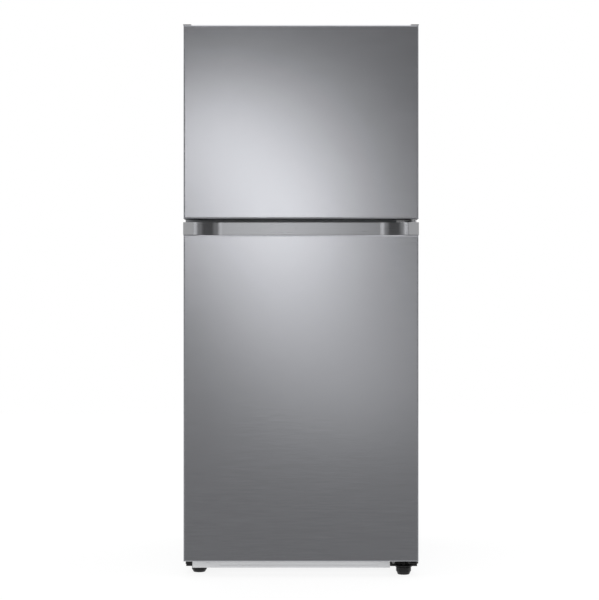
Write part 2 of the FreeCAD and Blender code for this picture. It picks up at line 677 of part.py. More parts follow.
def make_interior():
    rim, pane = shelf(freezer_floor + freezer_shelf_level, inner_back - cover_depth - 6)
    parts["freezer_shelf_frame"] = rim
    parts["freezer_shelf_glass"] = pane
    rims, panes = [], []
    for level in fridge_shelf_levels:
        rim, pane = shelf(fridge_floor + level, shelf_back)
        rims.append(rim)
        panes.append(pane)
    parts["fridge_shelf_frames"] = Part.makeCompound(rims)
    parts["fridge_shelf_glass"] = Part.makeCompound(panes)

    rim, pane = shelf(rib_top_crisper, shelf_back)
    rail_z = step_top - rail_drop
    y0, y1 = shelf_front + 12, step_front - 6
    web = wide_box(4, y0, y1, rail_z, rib_top_crisper + 1)
    beam = wide_box(4, y0, shelf_back - 6, rib_top_crisper, rib_top_crisper + 7)
    foot = wide_box(13, y0, y1, rail_z, rail_z + rail_height)
    side_web = box(inner_half - 12, inner_half - 9, y0, y1, rail_z, rib_top_crisper + 1)
    side_foot = box(inner_half - 18.5, inner_half - 9, y0, y1, rail_z, rail_z + rail_height)
    side = side_web.fuse(side_foot)
    frame = fuse([rim, web, beam, foot, side, mirrored(side)])
    parts["crisper_cover_frame"] = frame.common(liner_solid(0, fridge_floor, fridge_roof, True))
    parts["crisper_cover_glass"] = pane
    parts["crisper_right"] = drawer(1)
    parts["crisper_left"] = drawer(-1)

    panel_front, panel_back = shelf_front + 5, shelf_front + 95
    panel_low = fridge_roof - 26
    case = wide_box(95, panel_front, panel_back, panel_low, fridge_roof)
    case = case.makeFillet(4, [e for e in case.Edges if e.BoundBox.ZMax < panel_low + 1])
    case = case.cut(wide_box(92, panel_front + 3, panel_back - 3, panel_low + 3, fridge_roof + 1))
    for side, name in ((-1, "button_freezer"), (1, "button_fridge")):
        centre = Vector(side * 45, panel_front, panel_low + 13)
        hole = box(-12.5, 12.5, -1, 4, -5, 5)
        cap = box(-12.2, 12.2, -1.5, 6, -4.7, 4.7)
        stop = box(-15, 15, 3.1, 6, -7, 7)
        button = cap.fuse(stop).removeSplitter()
        for shape in (hole, button):
            shape.translate(centre)
        case = case.cut(hole)
        parts[name] = button
    parts["control_panel"] = case

    lamp_y = shelf_front + 150
    fridge_lamp = wide_box(60, lamp_y, lamp_y + 40, fridge_roof - 9, fridge_roof)
    freezer_lamp = wide_box(40, lamp_y, lamp_y + 32, freezer_roof - 8, freezer_roof)
    parts["interior_lamps"] = Part.makeCompound([fridge_lamp, freezer_lamp])

    duct = wide_box(70, inner_back - 22, inner_back, step_top + 40, fridge_roof - 20)
    duct = duct.cut(wide_box(66, inner_back - 18, inner_back + 1, step_top + 36, fridge_roof - 16))
    for z in (140, 300, 390, 545, 640):
        duct = duct.cut(wide_box(45, inner_back - 24, inner_back - 17, step_top + z, step_top + z + 8))
    parts["air_duct"] = duct


# ---------------------------------------------------------------- cooling
def fan_blade(centre, axis, radius):
    """Five pitched blades on a hub, turning about the given axis."""
    x, y, z = centre
    pieces = [rod(0, 0, -8, 15, 18)]
    for step in range(5):
        blade = box(12, radius, -13, 13, -0.8, 0.8)
        blade.rotate(Vector(0, 0, 0), Vector(1, 0, 0), 28)
        blade.rotate(Vector(0, 0, 0), Vector(0, 0, 1), 72 * step)
        pieces.append(blade)
    fan = fuse(pieces).common(rod(0, 0, -20, radius, 40))
    fan = fan.cut(rod(0, 0, -9, 2 + running_clearance, 14))
    turn = FreeCAD.Rotation(Vector(0, 0, 1), Vector(*axis))
    fan.Placement = FreeCAD.Placement(Vector(x, y, z), turn)
    return fan


def fan_frame(centre, axis, radius):
    """Square shroud, three spokes, motor can and shaft."""
    outer = box(-radius - 8, radius + 8, -radius - 8, radius + 8, -18, -10)
    ring = outer.cut(rod(0, 0, -19, radius + 2, 10))
    motor = rod(0, 0, -34, 22, 22)
    spokes = []
    for step in range(4):
        arm = box(0, radius + 6, -4, 4, -18, -14)
        arm.rotate(Vector(0, 0, 0), Vector(0, 0, 1), 45 + 90 * step)
        spokes.append(arm)
    shaft = rod(0, 0, -13, 2, 16)
    shape = fuse([ring, motor, shaft] + spokes)
    turn = FreeCAD.Rotation(Vector(0, 0, 1), Vector(*axis))
    shape.Placement = FreeCAD.Placement(Vector(*centre), turn)
    return shape


def coil_block(x0, x1, y0, y1, z0, z1, rows, columns):
    """Upright fins crossed by rows of round tubes."""
    pitch = (x1 - x0 - 20) / (fin_count - 1)
    pieces = []
    for step in range(fin_count):
        x = x0 + 10 + pitch * step
        pieces.append(box(x - 0.5, x + 0.5, y0, y1, z0, z1))
    for row in range(rows):
        z = z0 + (z1 - z0) * (row + 0.5) / rows
        for column in range(columns):
            y = y0 + (y1 - y0) * (column + 0.5) / columns
            pieces.append(rod(x0, y, z, tube_radius, x1 - x0, (1, 0, 0)))
    return fuse(pieces)


def pipe(points, radius):
    """Round tube along straight legs with ball elbows."""
    pieces = []
    for start, end in zip(points[:-1], points[1:]):
        leg = Vector(*end) - Vector(*start)
        pieces.append(Part.makeCylinder(radius, leg.Length, Vector(*start), leg))
    for corner in points[1:-1]:
        pieces.append(Part.makeSphere(radius, Vector(*corner)))
    return fuse(pieces)


def make_cooling():
    cover_y = inner_back - cover_depth
    low, high = freezer_floor + 1, freezer_roof - 1
    cover = wide_box(inner_half - 1, cover_y, cover_y + 3, low, high)
    inset = wide_box(inner_half - 40, cover_y - 1, cover_y + 1, low + 40, high - 40)
    cover = cover.cut(inset)
    for step in range(9):
        z = low + 30 + 9 * step
        cover = cover.cut(wide_box(180, cover_y - 1, cover_y + 4, z, z + 4))
    fan_z = low + 330
    for ring in range(6):
        radius = 8 + 8 * ring
        slot = rod(0, cover_y - 1, fan_z, radius + 4, 5, (0, 1, 0)).cut(
            rod(0, cover_y - 2, fan_z, radius, 8, (0, 1, 0))
        )
        for turn in (45, 135):
            bar = wide_box(2 * fan_radius, cover_y - 2, cover_y + 5, -3, 3)
            bar.rotate(Vector(0, 0, 0), Vector(0, 1, 0), turn)
            bar.translate(Vector(0, 0, fan_z))
            slot = slot.cut(bar)
        cover = cover.cut(slot)
    sides = [box(inner_half - 3, inner_half - 1, cover_y, inner_back - liner_corner - 1, low + 20, high - 20)]
    sides.append(mirrored(sides[0]))
    room = liner_solid(-1, freezer_floor, freezer_roof, False)
    parts["evaporator_cover"] = fuse([cover] + sides).common(room)
    parts["evaporator"] = coil_block(-250, 250, cover_y + 12, inner_back - 6, low + 25, low + 225, 4, 2)
    centre = (0, cover_y + 24, fan_z)
    parts["evaporator_fan_motor"] = fan_frame(centre, (0, -1, 0), fan_radius)
    parts["evaporator_fan_blade"] = fan_blade(centre, (0, -1, 0), fan_radius)

    deck = side_bottom + tray_sheet
    comp_x, comp_y = -170.0, compartment_front + 112
    base = deck + 16
    body = rod(comp_x, comp_y, base + 4, compressor_radius, compressor_height)
    body = body.makeFillet(34, [e for e in body.Edges if e.BoundBox.ZMin > base + 100])
    seam_ring = rod(comp_x, comp_y, base + 70, compressor_radius + 3, 6)
    foot = box(comp_x - 105, comp_x + 105, comp_y - 55, comp_y + 55, base, base + 4)
    foot = round_upright(foot, 18, lambda x, y: True)
    side_x = comp_x + compressor_radius
    terminal = box(side_x - 6, side_x + 26, comp_y - 26, comp_y + 26, base + 50, base + 110)
    stub = rod(comp_x + 10, comp_y, base + compressor_height - 6, 5, 30)
    compressor = fuse([body, seam_ring, foot, terminal, stub])
    grommets = []
    for dx in (-88, 88):
        for dy in (-40, 40):
            spot = (comp_x + dx, comp_y + dy)
            compressor = compressor.cut(rod(spot[0], spot[1], base - 1, 5.5, 6))
            grommet = rod(spot[0], spot[1], deck, 11, base - deck)
            grommets.append(grommet.fuse(rod(spot[0], spot[1], base, 5.4, 7)).removeSplitter())
    parts["compressor"] = compressor
    parts["compressor_grommets"] = Part.makeCompound(grommets)

    pan = box(60, 262, compartment_front + 20, foam_back - 30, deck, deck + 24)
    pan = pan.makeFillet(8, [e for e in pan.Edges if e.BoundBox.ZLength > 1 or e.BoundBox.ZMax < deck + 1])
    pan = pan.cut(box(62.5, 259.5, compartment_front + 22.5, foam_back - 32.5, deck + 2.5, deck + 25))
    parts["drain_pan"] = pan
    coil_low = deck + 34
    coil_back = foam_back - 44
    coil_front = compartment_front + 30
    parts["condenser"] = coil_block(90, 250, coil_front, coil_back, coil_low, coil_low + 140, 5, 4)
    fan_centre = (34.0, comp_y, coil_low + 72)
    parts["condenser_fan_motor"] = fuse(
        [
            fan_frame(fan_centre, (1, 0, 0), fan_radius),
            box(16, 24, comp_y - 50, comp_y + 50, deck, fan_centre[2] - fan_radius - 2),
        ]
    )
    parts["condenser_fan_blade"] = fan_blade(fan_centre, (1, 0, 0), fan_radius)

    tube_y = coil_front + (coil_back - coil_front) / 8
    tube_z = coil_low + 14
    high_z = compartment_top - 20
    stub_x, stub_top = comp_x + 10, base + compressor_height + 24
    front_y, back_y, right_x = compartment_front + 14, coil_back - 20, 276
    hot = [
        (stub_x, comp_y, stub_top),
        (stub_x, comp_y, high_z),
        (stub_x, front_y, high_z),
        (right_x, front_y, high_z),
        (right_x, tube_y, high_z),
        (right_x, tube_y, tube_z),
        (250, tube_y, tube_z),
    ]
    cold = [
        (right_x, back_y, coil_low + 126),
        (right_x + 24, back_y, coil_low + 126),
        (right_x + 24, back_y, deck + 30),
    ]
    drier = rod(right_x + 24, back_y, deck + 55, 10, 70)
    parts["refrigerant_tubes"] = Part.makeCompound([pipe(hot, 3.0), fuse([pipe(cold, 3.0), drier])])

    low, high = side_bottom + 8, compartment_top - 4
    plate = wide_box(cab_in - 12, cab_back - cabinet_sheet, cab_back + 1, low, high)
    panel = wide_box(cab_in - 60, cab_back, cab_back + back_relief, low + 25, high - 25)
    panel = panel.makeChamfer(4, [e for e in panel.Edges if e.BoundBox.YMin > cab_back + 1])
    hollow = wide_box(cab_in - 66, cab_back - 2, cab_back + back_relief - 2, low + 31, high - 31)
    cover = plate.fuse(panel).cut(hollow)
    for column in range(-9, 10):
        if abs(column) != 7:
            x = column * 28
            slot = box(x - 4, x + 4, cab_back - 2, cab_back + back_relief + 1, low + 50, high - 50)
            cover = cover.cut(slot)
    gland_x, gland_z = 7 * 28.0, (low + high) / 2
    hole_radius = 8 + running_clearance
    cover = cover.cut(rod(gland_x, cab_back - 2, gland_z, hole_radius, back_relief + 4, (0, 1, 0)))
    parts["machine_cover"] = cover.removeSplitter()
    gland_end = cab_back + back_relief
    gland = rod(gland_x, cab_back - 6, gland_z, 8, back_relief + 6, (0, 1, 0))
    gland = gland.fuse(rod(gland_x, cab_back - 6, gland_z, 12, 4.9, (0, 1, 0)))
    parts["power_cord_gland"] = gland.cut(rod(gland_x, cab_back - 8, gland_z, gland_bore, 24, (0, 1, 0)))


make_cabinet()
make_base()
make_hinges()
make_freezer_door()
make_fridge_door()
make_interior()
make_cooling()
os.makedirs("parts", exist_ok=True)
for name, shape in sorted(parts.items()):
    shape.exportStep("parts/" + name + ".step")
    print(name, len(shape.Solids), shape.isValid(), round(shape.Volume))
print(len(parts), "nodes")
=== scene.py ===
import json
import math

import bmesh
import bpy
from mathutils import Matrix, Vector


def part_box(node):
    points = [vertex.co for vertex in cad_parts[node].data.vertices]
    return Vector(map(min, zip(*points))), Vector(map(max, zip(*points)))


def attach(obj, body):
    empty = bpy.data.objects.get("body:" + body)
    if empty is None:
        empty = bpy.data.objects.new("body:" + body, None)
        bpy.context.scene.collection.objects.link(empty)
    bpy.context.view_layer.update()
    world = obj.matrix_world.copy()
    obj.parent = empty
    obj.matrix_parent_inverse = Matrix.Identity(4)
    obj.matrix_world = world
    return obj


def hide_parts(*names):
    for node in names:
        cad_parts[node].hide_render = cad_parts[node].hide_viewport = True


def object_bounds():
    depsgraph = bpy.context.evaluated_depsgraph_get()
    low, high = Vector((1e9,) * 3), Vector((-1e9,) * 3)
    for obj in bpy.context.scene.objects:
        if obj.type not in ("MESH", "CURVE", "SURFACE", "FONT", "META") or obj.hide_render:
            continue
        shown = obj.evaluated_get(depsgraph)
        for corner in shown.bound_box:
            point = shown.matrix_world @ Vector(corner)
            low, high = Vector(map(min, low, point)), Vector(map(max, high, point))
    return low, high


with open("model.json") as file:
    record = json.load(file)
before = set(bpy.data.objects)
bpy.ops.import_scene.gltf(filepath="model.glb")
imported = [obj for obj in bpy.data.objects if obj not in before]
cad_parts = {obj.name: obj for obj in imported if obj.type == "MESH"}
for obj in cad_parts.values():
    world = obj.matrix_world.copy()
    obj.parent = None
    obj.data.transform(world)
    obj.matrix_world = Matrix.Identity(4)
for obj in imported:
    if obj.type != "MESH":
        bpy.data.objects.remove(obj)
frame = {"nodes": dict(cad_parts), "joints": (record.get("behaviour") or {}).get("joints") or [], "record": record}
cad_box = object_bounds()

# Looks of the top freezer refrigerator: a material for every CAD node, the small pieces that CAD leaves out,
# and the studio. Pieces are drawn in millimetres in the CAD frame (-Y is the front). MM turns them into metres.
MM = 0.001
SMALLEST_CORNER = 0.8

# Camera and studio, metres
CAMERA_DISTANCE = 4.5
CAMERA_X = -0.0047
EYE_HEIGHT = 0.8588
LENS_MM = 87.3
FLOOR_HALF = 6.0
FLOOR_GREY = 0.155
FLOOR_GLOW = 0.88
SOFTBOX_SIZE = 0.55
SOFTBOX_Y = -5.3

# Each softbox: x and z in metres, and its power in watts
SOFTBOXES = [
    (-0.1, 0.3, 0.42), (0.4, 0.3, 0.68), (-0.1, 0.85, 1.48), (0.4, 0.85, 0.30), (-0.6, 1.4, 0.80),
    (-0.1, 1.4, 3.16), (-0.6, 1.95, 2.52), (-0.1, 1.95, 1.20), (0.9, 3.2, 0.45),
]

# What shiny surfaces mirror beside the softboxes: (direction along the axis from -1 to 1, brightness)
FLOOR_IN_MIRROR = 0.195
MIRRORED_DEPTH = [(-1, 0.05), (-0.7, 0.025), (0.05, 0.03), (0.4, 0.6), (1, 1.0)]
MIRRORED_HEIGHT = [(-1, 0.5), (-0.7, 0.35), (-0.4, FLOOR_IN_MIRROR), (-0.01, FLOOR_IN_MIRROR),
                   (0.01, 0.0), (0.32, 0.0), (0.5, 0.8), (1, 1.2)]
MIRRORED_SIDE = [(0.28, 0.0), (0.38, 0.48), (0.5, 0.3), (0.6, 0.05), (0.88, 0.0), (0.96, 0.7), (1, 0.9)]

# Places on the object, millimetres
BIN_RIMS = {"freezer_door": (1259.0, 1484.0), "fridge_door": (262.3, 582.3, 892.3)}
BIN_STRIP_HALF = 239
SHELF_TOPS = {"freezer_shelf_frame": (1387.0,), "fridge_shelf_frames": (572.3, 812.3),
              "crisper_cover_frame": (315.0,)}
SHELF_STRIP_HALF = 296
CRISPER_BEAD_LEVELS = (118, 132, 146)
DOOR_BEAD_COLUMNS = (-180, -90, 0, 90, 180)
DOOR_BEAD_SPANS = {"freezer_door": ((1270, 1396), (1492, 1630)),
                   "fridge_door": ((100, 156), (272, 486), (592, 806), (902, 1030))}
BUSHINGS = (("freezer_door", 1692.1, 1.5), ("freezer_door", 1107.0, 2.7), ("fridge_door", 1099.6, 2.9))
MIDDLE_HINGE_SCREWS = [(x, -322.5, 1100.5) for x in (309, 333)]
BRACKET_SCREW_COLUMNS = (290, 353.6)
BRACKET_SCREW_LEVEL = 35
BACK_SCREW_LEVELS = (275, 510, 745, 980, 1215, 1450, 1678)
BACK_SCREW_COLUMN = 350
BACK_EDGE_SCREW_COLUMNS = (-175, 0, 175)
BACK_BEAD_HALF = 300
BACK_BEAD_SPANS = ((300, 690), (730, 1120), (1160, 1640))
FOAM_HOLE_LEVELS = (519.8, 879.8, 1239.8)
DUCT_OUTLET_LEVELS = (440, 680, 900)
FREEZER_LAMP_LEVEL = 1627.0
LAMP_FRONT, LAMP_BACK, LAMP_HALF = -51, -18, 52
BUTTON_CENTRES = (-45, 45)
BUTTON_RIM_LOW, BUTTON_RIM_HIGH, BUTTON_RIM_HALF = 1053.6, 1072.4, 17.4
COMPRESSOR_SEAM_CENTRE = (-170, 261.5, 140)

PALETTE = {
    "steel_door": (0.585, 0.592, 0.625),
    "handle_trim": (0.415, 0.42, 0.437),
    "cabinet_paint": (0.30, 0.305, 0.32),
    "galvanised_steel": (0.52, 0.54, 0.56),
    "hinge_steel": (0.66, 0.66, 0.67),
    "black_steel": (0.012, 0.012, 0.013),
    "insulation_foam": (0.80, 0.68, 0.42),
    "liner_plastic": (0.80, 0.815, 0.83),
    "clear_plastic": (0.86, 0.92, 0.95),
    "shelf_glass": (0.80, 0.93, 0.90),
    "shelf_trim": (0.74, 0.755, 0.77),
    "gasket_rubber": (0.16, 0.165, 0.175),
    "door_cap_plastic": (0.11, 0.113, 0.12),
    "base_rail_paint": (0.76, 0.765, 0.78),
    "foot_plastic": (0.014, 0.014, 0.015),
    "fan_plastic": (0.03, 0.03, 0.032),
    "coil_aluminium": (0.80, 0.81, 0.82),
    "copper_tube": (0.80, 0.42, 0.27),
    "compressor_paint": (0.010, 0.010, 0.011),
    "grommet_rubber": (0.02, 0.02, 0.02),
    "lamp_lens": (0.93, 0.95, 0.93),
    "cover_board": (0.16, 0.165, 0.17),
    "satin_strip": (0.66, 0.67, 0.69),
    "silver_plastic": (0.29, 0.293, 0.302),
}


# ------------------------------------------------------------ material tools
# Socket numbers of a Mix node for each data type: first input, second input, output
MIX_SOCKETS = {"FLOAT": (2, 3, 0), "RGBA": (6, 7, 2)}


def mix(tree, data_type, a, b, factor, mode="MIX"):
    first, second, result = MIX_SOCKETS[data_type]
    node = tree.nodes.new("ShaderNodeMix")
    node.data_type = data_type
    node.blend_type = mode
    node.inputs[0].default_value = factor
    tree.links.new(a, node.inputs[first])
    tree.links.new(b, node.inputs[second])
    return node.outputs[result]


def colour_ramp(tree, source, stops):
    """Ramp with a (place, value) stop for each pair; a value is a grey or a colour."""
    node = tree.nodes.new("ShaderNodeValToRGB")
    elements = node.color_ramp.elements
    while len(elements) < len(stops):
        elements.new(0.5)
    for element, (place, value) in zip(elements, stops):
        element.position = place
        rgb = value if isinstance(value, tuple) else (value, value, value)
        element.color = (*rgb, 1.0)
    tree.links.new(source, node.inputs["Fac"])
    return node.outputs["Color"]


class Shader:
    """One Principled material with object-space procedural inputs."""

    def __init__(self, name, **sockets):
        self.material = bpy.data.materials.new(name)
        self.material.use_nodes = True
        self.tree = self.material.node_tree
        self.bsdf = next(n for n in self.tree.nodes if n.type == "BSDF_PRINCIPLED")
        self.coords = self.tree.nodes.new("ShaderNodeTexCoord")
        for key, value in sockets.items():
            self.bsdf.inputs[key.replace("_", " ")].default_value = value

    def texture(self, kind, scale):
        """Texture whose cells are 1/scale metres; scale is one number, or one for each axis."""
        mapping = self.tree.nodes.new("ShaderNodeMapping")
        mapping.inputs["Scale"].default_value = scale if isinstance(scale, tuple) else (scale, scale, scale)
        texture = self.tree.nodes.new(kind)
        texture.inputs["Scale"].default_value = 1.0
        self.tree.links.new(self.coords.outputs["Object"], mapping.inputs["Vector"])
        self.tree.links.new(mapping.outputs["Vector"], texture.inputs["Vector"])
        return texture

    def noise(self, scale, detail=3.0, rough=0.5):
        texture = self.texture("ShaderNodeTexNoise", scale)
        texture.inputs["Detail"].default_value = detail
        texture.inputs["Roughness"].default_value = rough
        return texture.outputs["Fac"]

    def cells(self, scale):
        return self.texture("ShaderNodeTexVoronoi", scale).outputs["Distance"]

    def vary(self, socket, source, low, high, start=0.3, end=0.7):
        """Drives a socket from low to high while the source goes from start to end."""
        ramp = colour_ramp(self.tree, source, [(start, low), (end, high)])
        self.tree.links.new(ramp, self.bsdf.inputs[socket])

    def tint(self, source, colour, spread):
        darker = tuple(c * (1 - spread) for c in colour)
        paler = tuple(min(1.0, c * (1 + spread)) for c in colour)
        self.vary("Base Color", source, darker, paler)

    def bump(self, source, strength, distance):
        node = self.tree.nodes.new("ShaderNodeBump")
        node.inputs["Strength"].default_value = strength
        node.inputs["Distance"].default_value = distance
        self.tree.links.new(source, node.inputs["Height"])
        self.tree.links.new(node.outputs["Normal"], self.bsdf.inputs["Normal"])

    def tangent(self, axis):
        node = self.tree.nodes.new("ShaderNodeTangent")
        node.direction_type = "RADIAL"
        node.axis = axis
        self.tree.links.new(node.outputs["Tangent"], self.bsdf.inputs["Tangent"])


def brushed(name, colour, roughness, spread, anisotropy, relief=0.012):
    """Sheet metal with horizontal brush lines, fine and coarse together."""
    s = Shader(name, Metallic=1.0, Anisotropic=anisotropy)
    fine = s.noise((20.0, 20.0, 900.0), 2.0)
    coarse = s.noise((8.0, 8.0, 230.0), 3.0, 0.6)
    s.tint(mix(s.tree, "FLOAT", fine, coarse, 0.42), colour, spread)
    s.vary("Roughness", coarse, roughness - 0.008, roughness + 0.008)
    s.bump(coarse, relief, 0.0001)
    s.tangent("Z")
    return s.material


def painted(name, colour, roughness, peel, coat=0.0):
    """Paint or smooth plastic with a fine orange peel and faint cloudiness."""
    s = Shader(name, Coat_Weight=coat, Coat_Roughness=0.12)
    s.tint(s.noise(6, 3.0), colour, 0.012)
    s.vary("Roughness", s.noise(40, 4.0), roughness - 0.04, roughness + 0.05)
    s.bump(s.noise(260, 2.0), peel, 0.0004)
    return s.material


def moulded(name, colour, roughness, grain_scale, grain, spread=0.02):
    """Moulded plastic or rubber: pebbled grain over slow changes of gloss."""
    s = Shader(name, Specular_IOR_Level=0.45)
    s.tint(s.noise(18, 4.0), colour, spread)
    s.vary("Roughness", s.noise(55, 3.0), roughness - 0.05, roughness + 0.06)
    s.bump(s.cells(grain_scale), grain, 0.0003)
    return s.material


def plated(name, colour, roughness, patch_scale):
    """Zinc or bare metal with crystal patches and cloudy gloss."""
    s = Shader(name, Metallic=1.0)
    s.tint(s.cells(patch_scale), colour, 0.07)
    s.vary("Roughness", s.noise((90, 90, 30), 5.0, 0.7), roughness - 0.07, roughness + 0.1)
    s.bump(s.noise(500, 3.0), 0.05, 0.0002)
    return s.material


def see_through(name, colour, roughness, alpha, ior):
    """Clear glass or plastic, where tint, gloss and alpha vary slowly."""
    s = Shader(name, IOR=ior, Specular_IOR_Level=0.6)
    s.tint(s.noise(14, 2.0), colour, 0.02)
    s.vary("Roughness", s.noise(70, 4.0), roughness, roughness + 0.07)
    s.vary("Alpha", s.noise(9, 2.0), alpha - 0.02, alpha + 0.03)
    s.bump(s.noise(30, 2.0), 0.03, 0.0005)
    return s.material


def foam(name, colour):
    """Cut foam with open cells."""
    s = Shader(name, Subsurface_Weight=0.1)
    s.tint(s.cells(420), colour, 0.12)
    s.vary("Roughness", s.noise(60, 4.0), 0.75, 0.95)
    s.bump(s.cells(420), 0.5, 0.0008)
    return s.material


def lamp(name, colour):
    """Softly glowing lens with a pebbled surface."""
    s = Shader(name, Emission_Strength=0.35, Roughness=0.35)
    s.tint(s.noise(30, 2.0), colour, 0.02)
    s.vary("Emission Color", s.noise(25, 2.0), (1, 0.99, 0.95), (0.9, 0.93, 1.0), 0.2, 0.8)
    s.bump(s.cells(300), 0.3, 0.0006)
    return s.material


# Each material: its maker, and what the maker takes after the name and the colour
RECIPES = {
    "steel_door": (brushed, 0.25, 0.08, 0.25),
    "handle_trim": (brushed, 0.28, 0.05, 0.0, 0.004),
    "cabinet_paint": (painted, 0.42, 0.14, 0.15),
    "galvanised_steel": (plated, 0.42, 60),
    "hinge_steel": (plated, 0.28, 400),
    "black_steel": (painted, 0.38, 0.2),
    "insulation_foam": (foam,),
    "liner_plastic": (painted, 0.40, 0.008),
    "clear_plastic": (see_through, 0.05, 0.30, 1.49),
    "shelf_glass": (see_through, 0.01, 0.24, 1.52),
    "shelf_trim": (moulded, 0.32, 900, 0.04),
    "gasket_rubber": (moulded, 0.6, 700, 0.15),
    "door_cap_plastic": (moulded, 0.48, 1100, 0.25),
    "base_rail_paint": (painted, 0.36, 0.08),
    "foot_plastic": (moulded, 0.42, 800, 0.2, 0.2),
    "fan_plastic": (moulded, 0.45, 900, 0.15, 0.1),
    "coil_aluminium": (plated, 0.3, 300),
    "copper_tube": (plated, 0.26, 120),
    "compressor_paint": (painted, 0.25, 0.1, 0.3),
    "grommet_rubber": (moulded, 0.65, 600, 0.3, 0.2),
    "lamp_lens": (lamp,),
    "cover_board": (painted, 0.5, 0.2),
    "satin_strip": (brushed, 0.3, 0.05, 0.3),
    "silver_plastic": (moulded, 0.45, 900, 0.03, 0.015),
}
MATERIALS = {name: make(name, PALETTE[name], *values) for name, (make, *values) in RECIPES.items()}

# Nodes that look different from the rest of their material slot
FINISH_OF_NODE = {"fridge_door_end_caps": "silver_plastic"}


def dress_nodes():
    """Gives every CAD node the material of its slot, or its own finish."""
    slot_of = {part["node"]: part["material_slot"] for part in frame["record"]["subparts"]}
    for node, obj in frame["nodes"].items():
        wanted = MATERIALS[FINISH_OF_NODE.get(node, slot_of[node])]
        if obj.material_slots:
            for material_slot in obj.material_slots:
                material_slot.material = wanted
        else:
            obj.data.materials.append(wanted)


# ------------------------------------------------------------ studio
def room():
    """White room for diffuse light and the camera, and a darker one with bright sides for glossy rays."""
    world = bpy.data.worlds.new("studio")
    bpy.context.scene.world = world
    world.use_nodes = True
    tree = world.node_tree
    tree.nodes.clear()
    coords = tree.nodes.new("ShaderNodeTexCoord")
    split = tree.nodes.new("ShaderNodeSeparateXYZ")
    tree.links.new(coords.outputs["Generated"], split.inputs[0])

    def by_direction(axis, stops):
        span = tree.nodes.new("ShaderNodeMapRange")
        span.inputs["From Min"].default_value = -1.0
        tree.links.new(split.outputs[axis], span.inputs["Value"])
        return colour_ramp(tree, span.outputs[0], [((place + 1) / 2, value) for place, value in stops])

    depth = by_direction("Y", MIRRORED_DEPTH)
    height = by_direction("Z", MIRRORED_HEIGHT)
    width = by_direction("X", [(-place, value) for place, value in reversed(MIRRORED_SIDE)] + MIRRORED_SIDE)
    lighter = mix(tree, "RGBA", depth, height, 1.0, "LIGHTEN")
    mirrored = tree.nodes.new("ShaderNodeBackground")
    tree.links.new(mix(tree, "RGBA", lighter, width, 1.0, "LIGHTEN"), mirrored.inputs["Color"])
    white = tree.nodes.new("ShaderNodeBackground")
    white.inputs["Color"].default_value = (1.0, 1.0, 1.0, 1.0)
    white.inputs["Strength"].default_value = 1.0
    choose = tree.nodes.new("ShaderNodeMixShader")
    path = tree.nodes.new("ShaderNodeLightPath")
    out = tree.nodes.new("ShaderNodeOutputWorld")
    tree.links.new(path.outputs["Is Glossy Ray"], choose.inputs[0])
    tree.links.new(white.outputs[0], choose.inputs[1])
    tree.links.new(mirrored.outputs[0], choose.inputs[2])
    tree.links.new(choose.outputs[0], out.inputs["Surface"])


def floor():
    """Pale floor that glows a little, so that its far edge melts into the white room."""
    mesh = bpy.data.meshes.new("studio_floor")
    corners = [(x * FLOOR_HALF, y * FLOOR_HALF, 0) for x, y in ((-1, -1), (1, -1), (1, 1), (-1, 1))]
    mesh.from_pydata(corners, [], [(0, 1, 2, 3)])
    plane = bpy.data.objects.new("studio_floor", mesh)
    bpy.context.scene.collection.objects.link(plane)
    s = Shader("studio_floor", Specular_IOR_Level=0.0, Emission_Strength=FLOOR_GLOW)
    s.tint(s.noise(0.7, 2.0), (FLOOR_GREY,) * 3, 0.005)
    s.vary("Roughness", s.noise(3, 2.0), 0.8, 0.9)
    s.vary("Emission Color", s.noise(1, 2.0), 0.98, 1.0, 0.2, 0.8)
    plane.visible_glossy = False
    mesh.materials.append(s.material)


def stand_upright(obj, place):
    """Places a camera or a light and turns it to look along +Y (a light shines that way)."""
    obj.location = place
    obj.rotation_euler = (math.radians(90), 0, 0)
    bpy.context.scene.collection.objects.link(obj)


def camera():
    data = bpy.data.cameras.new("camera")
    data.lens = LENS_MM
    eye = bpy.data.objects.new("camera", data)
    stand_upright(eye, (CAMERA_X, cad_box[0][1] - CAMERA_DISTANCE, EYE_HEIGHT))
    bpy.context.scene.camera = eye


def softboxes():
    for number, (x, z, power) in enumerate(SOFTBOXES):
        data = bpy.data.lights.new(f"softbox_{number}", "AREA")
        data.shape = "SQUARE"
        data.size = SOFTBOX_SIZE
        data.energy = power
        stand_upright(bpy.data.objects.new(f"softbox_{number}", data), (x, SOFTBOX_Y, z))


def studio():
    view = bpy.context.scene.view_settings
    view.view_transform = "Standard"
    view.look = "None"
    room()
    floor()
    camera()
    softboxes()


# ------------------------------------------------------------ mesh tools
def finish_piece(name, body, slot, bm, finish=None, smooth=35, bevel=0.0):
    """Turns a bmesh into a piece that rides on a body; finish is a material other than the slot's."""
    bmesh.ops.remove_doubles(bm, verts=bm.verts, dist=1e-6)
    bmesh.ops.recalc_face_normals(bm, faces=bm.faces)
    mesh = bpy.data.meshes.new(name)
    bm.to_mesh(mesh)
    bm.free()
    for face in mesh.polygons:
        face.use_smooth = True
    mesh.set_sharp_from_angle(angle=math.radians(smooth))
    mesh.materials.append(finish or MATERIALS[slot])
    obj = bpy.data.objects.new(name, mesh)
    bpy.context.scene.collection.objects.link(obj)
    if bevel:
        edge = obj.modifiers.new("bevel", "BEVEL")
        edge.width = bevel
        edge.segments = 2
        edge.limit_method = "ANGLE"
        edge.harden_normals = True
    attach(obj, body)
    return obj


def mm_box(node):
    """Lowest and highest corners of a CAD node, in millimetres."""
    low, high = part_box(node)
    return [v / MM for v in low], [v / MM for v in high]


